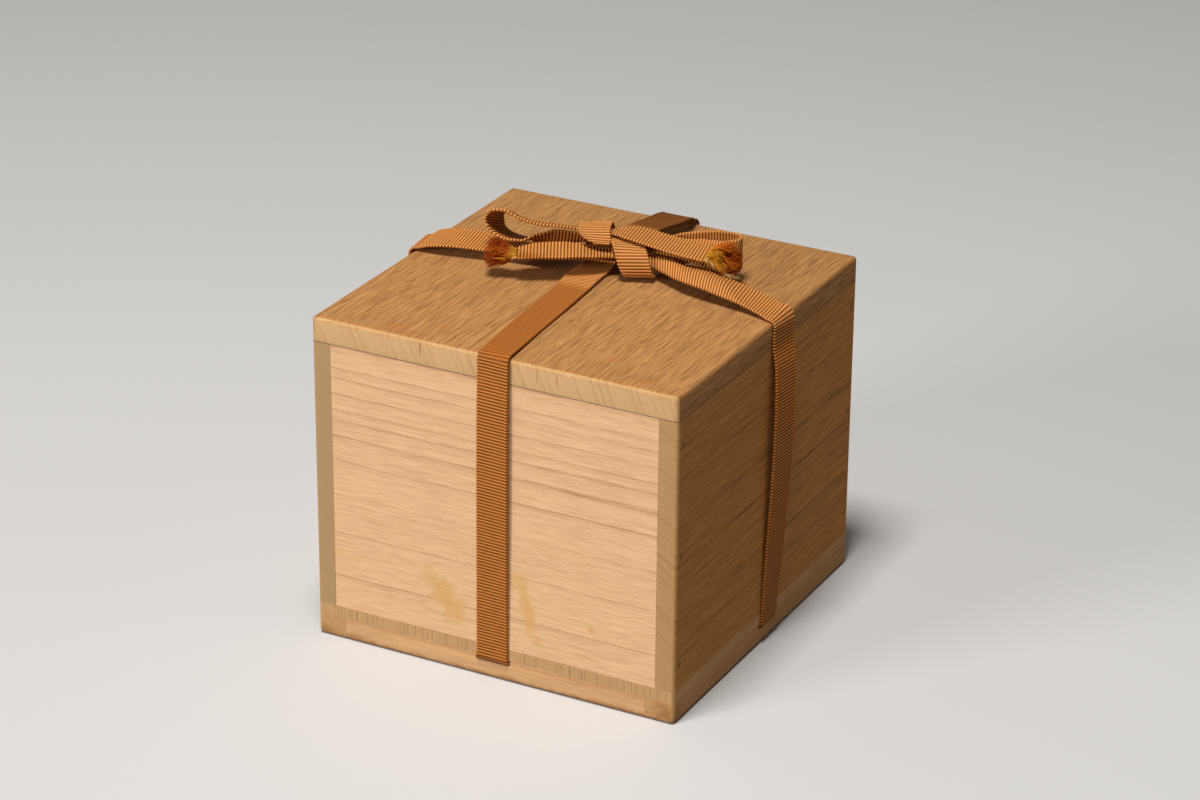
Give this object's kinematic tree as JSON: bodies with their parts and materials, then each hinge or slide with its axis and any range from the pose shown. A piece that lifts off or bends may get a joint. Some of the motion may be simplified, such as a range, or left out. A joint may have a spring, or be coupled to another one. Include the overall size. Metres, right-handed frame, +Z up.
{
  "type": "ribbon-tied wooden tea bowl box",
  "caption": "Square wooden storage box for a tea bowl: pegged walls on a foot-rail frame, a flat lift-off lid on battens, and a ribbed ribbon tied both ways round it in a bow.",
  "frame": {"origin": "middle of the underside of the foot rails, on the ground", "axes": "+X to the right along the front, +Y towards the back, +Z up"},
  "size_m": [0.1477, 0.1443, 0.1419],
  "materials": {
    "box_wood": "bare pale wood, aged to tan, with long wavy grain",
    "lid_wood": "bare wood, darker with age and handling, straight grain front to back",
    "peg_wood": "bare wood, end grain",
    "ribbon": "flat woven cord ribbon, ribbed along its length, soft sheen",
    "frayed_ribbon": "loose frayed threads"
  },
  "bodies": {
    "box": {"base_board": "box_wood", "wall_front": "box_wood", "wall_back": "box_wood", "wall_left": "box_wood", "wall_right": "box_wood", "foot_rail_front": "box_wood", "foot_rail_back": "box_wood", "foot_rail_left": "box_wood", "foot_rail_right": "box_wood", "wall_peg_front_left_1": "peg_wood", "wall_peg_front_left_2": "peg_wood", "wall_peg_front_left_3": "peg_wood", "wall_peg_front_right_1": "peg_wood", "wall_peg_front_right_2": "peg_wood", "wall_peg_front_right_3": "peg_wood", "wall_peg_back_left_1": "peg_wood", "wall_peg_back_left_2": "peg_wood", "wall_peg_back_left_3": "peg_wood", "wall_peg_back_right_1": "peg_wood", "wall_peg_back_right_2": "peg_wood", "wall_peg_back_right_3": "peg_wood", "base_peg_front_1": "peg_wood", "base_peg_front_2": "peg_wood", "base_peg_back_1": "peg_wood", "base_peg_back_2": "peg_wood", "base_peg_left_1": "peg_wood", "base_peg_left_2": "peg_wood", "base_peg_right_1": "peg_wood", "base_peg_right_2": "peg_wood", "ribbon_sling_front_back": "ribbon", "ribbon_sling_left_right": "ribbon"},
    "lid": {"lid_board": "lid_wood", "lid_batten_front": "box_wood", "lid_batten_back": "box_wood", "lid_batten_left": "box_wood", "lid_batten_right": "box_wood", "lid_peg_front_1": "peg_wood", "lid_peg_front_2": "peg_wood", "lid_peg_back_1": "peg_wood", "lid_peg_back_2": "peg_wood", "lid_peg_left_1": "peg_wood", "lid_peg_left_2": "peg_wood", "lid_peg_right_1": "peg_wood", "lid_peg_right_2": "peg_wood", "ribbon_lap_front": "ribbon", "ribbon_lap_back": "ribbon", "ribbon_lap_left": "ribbon", "ribbon_lap_right": "ribbon", "bow_loop_left": "ribbon", "bow_loop_right": "ribbon", "bow_tail_left": "ribbon", "bow_tail_right": "ribbon", "tail_tuft_left": "frayed_ribbon", "tail_tuft_right": "frayed_ribbon"}
  },
  "joints": [
    {"name": "lid_lift", "type": "slide", "parent": "box", "child": "lid", "axis": [0, 0, 1], "range_m": [0, 0.02]}
  ]
}
